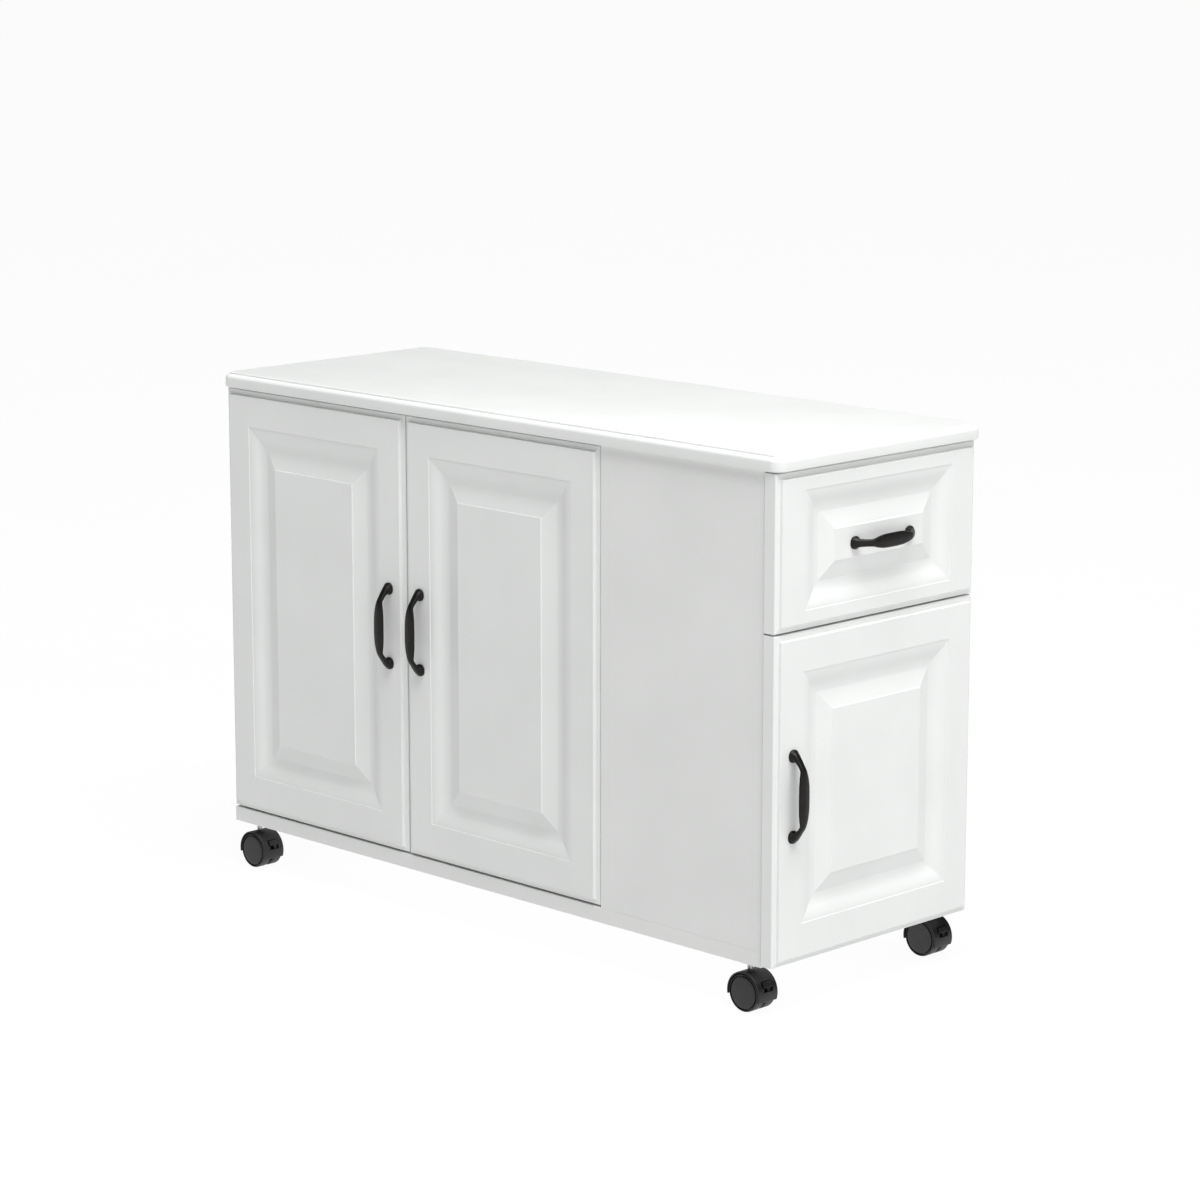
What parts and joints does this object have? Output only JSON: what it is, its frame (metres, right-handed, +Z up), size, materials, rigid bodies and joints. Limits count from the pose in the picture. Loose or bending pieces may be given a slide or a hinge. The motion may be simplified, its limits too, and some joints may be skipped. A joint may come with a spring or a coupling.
{
  "type": "rolling sewing cabinet table",
  "caption": "Long white storage table on braked casters: two raised-panel doors on the front, a drawer over a door at one end, and a fixed flat worktop.",
  "frame": {"origin": "on the floor, under the centre of the object's box, handles included", "axes": "+Z up, +X along the length towards the drawer end, -Y towards the two front doors"},
  "size_m": [1.1602, 0.4402, 0.766],
  "materials": {
    "white_board": "white melamine on fibreboard, satin",
    "white_front": "white foil wrapped over routed fibreboard, satin",
    "handle_black": "oil-rubbed black on cast zinc",
    "steel": "zinc-plated steel",
    "caster_black": "moulded black nylon, satin",
    "wheel_black": "moulded black nylon wheel",
    "bumper": "soft clear-white buffer"
  },
  "bodies": {
    "cabinet": {"worktop": "white_board", "base_board": "white_board", "left_side_panel": "white_board", "divider_panel": "white_board", "front_fixed_panel": "white_board", "end_post": "white_board", "rear_side_panel": "white_board", "back_panel": "white_board", "drawer_rail": "white_board", "top_rail": "white_board", "machine_shelf": "white_board", "base_screws": "steel", "shelf_pins": "steel", "hinge_arms": "steel", "door_bumpers": "bumper", "top_brackets": "steel", "caster_sleeves": "caster_black", "runner_channels": "steel"},
    "left_door": {"left_door_panel": "white_front", "left_door_handle": "handle_black", "left_door_handle_screws": "steel", "left_door_hinge_cups": "steel"},
    "right_door": {"right_door_panel": "white_front", "right_door_handle": "handle_black", "right_door_handle_screws": "steel", "right_door_hinge_cups": "steel"},
    "end_door": {"end_door_panel": "white_front", "end_door_handle": "handle_black", "end_door_handle_screws": "steel", "end_door_hinge_cups": "steel"},
    "drawer": {"drawer_front": "white_front", "drawer_handle": "handle_black", "drawer_handle_screws": "steel", "drawer_side_front": "white_board", "drawer_side_rear": "white_board", "drawer_back": "white_board", "drawer_bottom": "white_board", "drawer_runners": "steel"},
    "ball_cages": {"runner_ball_cages": "steel"},
    "front_left_caster": {"front_left_caster_hood": "caster_black", "front_left_caster_pins": "steel"},
    "front_left_caster_wheel_front": {"front_left_caster_wheel_front": "wheel_black"},
    "front_left_caster_wheel_back": {"front_left_caster_wheel_back": "wheel_black"},
    "front_left_caster_brake": {"front_left_caster_brake": "caster_black"},
    "front_right_caster": {"front_right_caster_hood": "caster_black", "front_right_caster_pins": "steel"},
    "front_right_caster_wheel_front": {"front_right_caster_wheel_front": "wheel_black"},
    "front_right_caster_wheel_back": {"front_right_caster_wheel_back": "wheel_black"},
    "front_right_caster_brake": {"front_right_caster_brake": "caster_black"},
    "rear_left_caster": {"rear_left_caster_hood": "caster_black", "rear_left_caster_pins": "steel"},
    "rear_left_caster_wheel_front": {"rear_left_caster_wheel_front": "wheel_black"},
    "rear_left_caster_wheel_back": {"rear_left_caster_wheel_back": "wheel_black"},
    "rear_left_caster_brake": {"rear_left_caster_brake": "caster_black"},
    "rear_right_caster": {"rear_right_caster_hood": "caster_black", "rear_right_caster_pins": "steel"},
    "rear_right_caster_wheel_front": {"rear_right_caster_wheel_front": "wheel_black"},
    "rear_right_caster_wheel_back": {"rear_right_caster_wheel_back": "wheel_black"},
    "rear_right_caster_brake": {"rear_right_caster_brake": "caster_black"}
  },
  "joints": [
    {"name": "left_door_hinge", "type": "hinge", "parent": "cabinet", "child": "left_door", "pos_m": [-0.5735, -0.1955, 0.417], "axis": [0, 0, -1], "range_deg": [0, 105]},
    {"name": "right_door_hinge", "type": "hinge", "parent": "cabinet", "child": "right_door", "pos_m": [0.2225, -0.1955, 0.417], "axis": [0, 0, 1], "range_deg": [0, 105]},
    {"name": "end_door_hinge", "type": "hinge", "parent": "cabinet", "child": "end_door", "pos_m": [0.5555, 0.21, 0.3], "axis": [0, 0, 1], "range_deg": [0, 105]},
    {"name": "drawer_slide", "type": "slide", "parent": "cabinet", "child": "drawer", "axis": [1, 0, 0], "range_m": [0, 0.19]},
    {"name": "ball_cage_slide", "type": "slide", "parent": "cabinet", "child": "ball_cages", "axis": [1, 0, 0], "range_m": [0, 0.095]},
    {"name": "front_left_swivel", "type": "hinge", "parent": "cabinet", "child": "front_left_caster", "pos_m": [-0.5375, -0.1739, 0.05], "axis": [0, 0, 1], "continuous": true},
    {"name": "front_left_wheel_front_spin", "type": "hinge", "parent": "front_left_caster", "child": "front_left_caster_wheel_front", "pos_m": [-0.5331, -0.1739, 0.0265], "axis": [0, 1, 0], "continuous": true},
    {"name": "front_left_wheel_back_spin", "type": "hinge", "parent": "front_left_caster", "child": "front_left_caster_wheel_back", "pos_m": [-0.5331, -0.1739, 0.0265], "axis": [0, 1, 0], "continuous": true},
    {"name": "front_left_brake_press", "type": "hinge", "parent": "front_left_caster", "child": "front_left_caster_brake", "pos_m": [-0.5331, -0.1739, 0.0265], "axis": [0, 1, 0], "range_deg": [0, 8]},
    {"name": "front_right_swivel", "type": "hinge", "parent": "cabinet", "child": "front_right_caster", "pos_m": [0.493, -0.1739, 0.05], "axis": [0, 0, 1], "continuous": true},
    {"name": "front_right_wheel_front_spin", "type": "hinge", "parent": "front_right_caster", "child": "front_right_caster_wheel_front", "pos_m": [0.4974, -0.1739, 0.0265], "axis": [0, 1, 0], "continuous": true},
    {"name": "front_right_wheel_back_spin", "type": "hinge", "parent": "front_right_caster", "child": "front_right_caster_wheel_back", "pos_m": [0.4974, -0.1739, 0.0265], "axis": [0, 1, 0], "continuous": true},
    {"name": "front_right_brake_press", "type": "hinge", "parent": "front_right_caster", "child": "front_right_caster_brake", "pos_m": [0.4974, -0.1739, 0.0265], "axis": [0, 1, 0], "range_deg": [0, 8]},
    {"name": "rear_left_swivel", "type": "hinge", "parent": "cabinet", "child": "rear_left_caster", "pos_m": [-0.5375, 0.1924, 0.05], "axis": [0, 0, 1], "continuous": true},
    {"name": "rear_left_wheel_front_spin", "type": "hinge", "parent": "rear_left_caster", "child": "rear_left_caster_wheel_front", "pos_m": [-0.5331, 0.1924, 0.0265], "axis": [0, 1, 0], "continuous": true},
    {"name": "rear_left_wheel_back_spin", "type": "hinge", "parent": "rear_left_caster", "child": "rear_left_caster_wheel_back", "pos_m": [-0.5331, 0.1924, 0.0265], "axis": [0, 1, 0], "continuous": true},
    {"name": "rear_left_brake_press", "type": "hinge", "parent": "rear_left_caster", "child": "rear_left_caster_brake", "pos_m": [-0.5331, 0.1924, 0.0265], "axis": [0, 1, 0], "range_deg": [0, 8]},
    {"name": "rear_right_swivel", "type": "hinge", "parent": "cabinet", "child": "rear_right_caster", "pos_m": [0.493, 0.1924, 0.05], "axis": [0, 0, 1], "continuous": true},
    {"name": "rear_right_wheel_front_spin", "type": "hinge", "parent": "rear_right_caster", "child": "rear_right_caster_wheel_front", "pos_m": [0.4974, 0.1924, 0.0265], "axis": [0, 1, 0], "continuous": true},
    {"name": "rear_right_wheel_back_spin", "type": "hinge", "parent": "rear_right_caster", "child": "rear_right_caster_wheel_back", "pos_m": [0.4974, 0.1924, 0.0265], "axis": [0, 1, 0], "continuous": true},
    {"name": "rear_right_brake_press", "type": "hinge", "parent": "rear_right_caster", "child": "rear_right_caster_brake", "pos_m": [0.4974, 0.1924, 0.0265], "axis": [0, 1, 0], "range_deg": [0, 8]}
  ],
  "couplings": [
    {"joint": "ball_cage_slide", "follows": "drawer_slide", "ratio": 0.5}
  ]
}
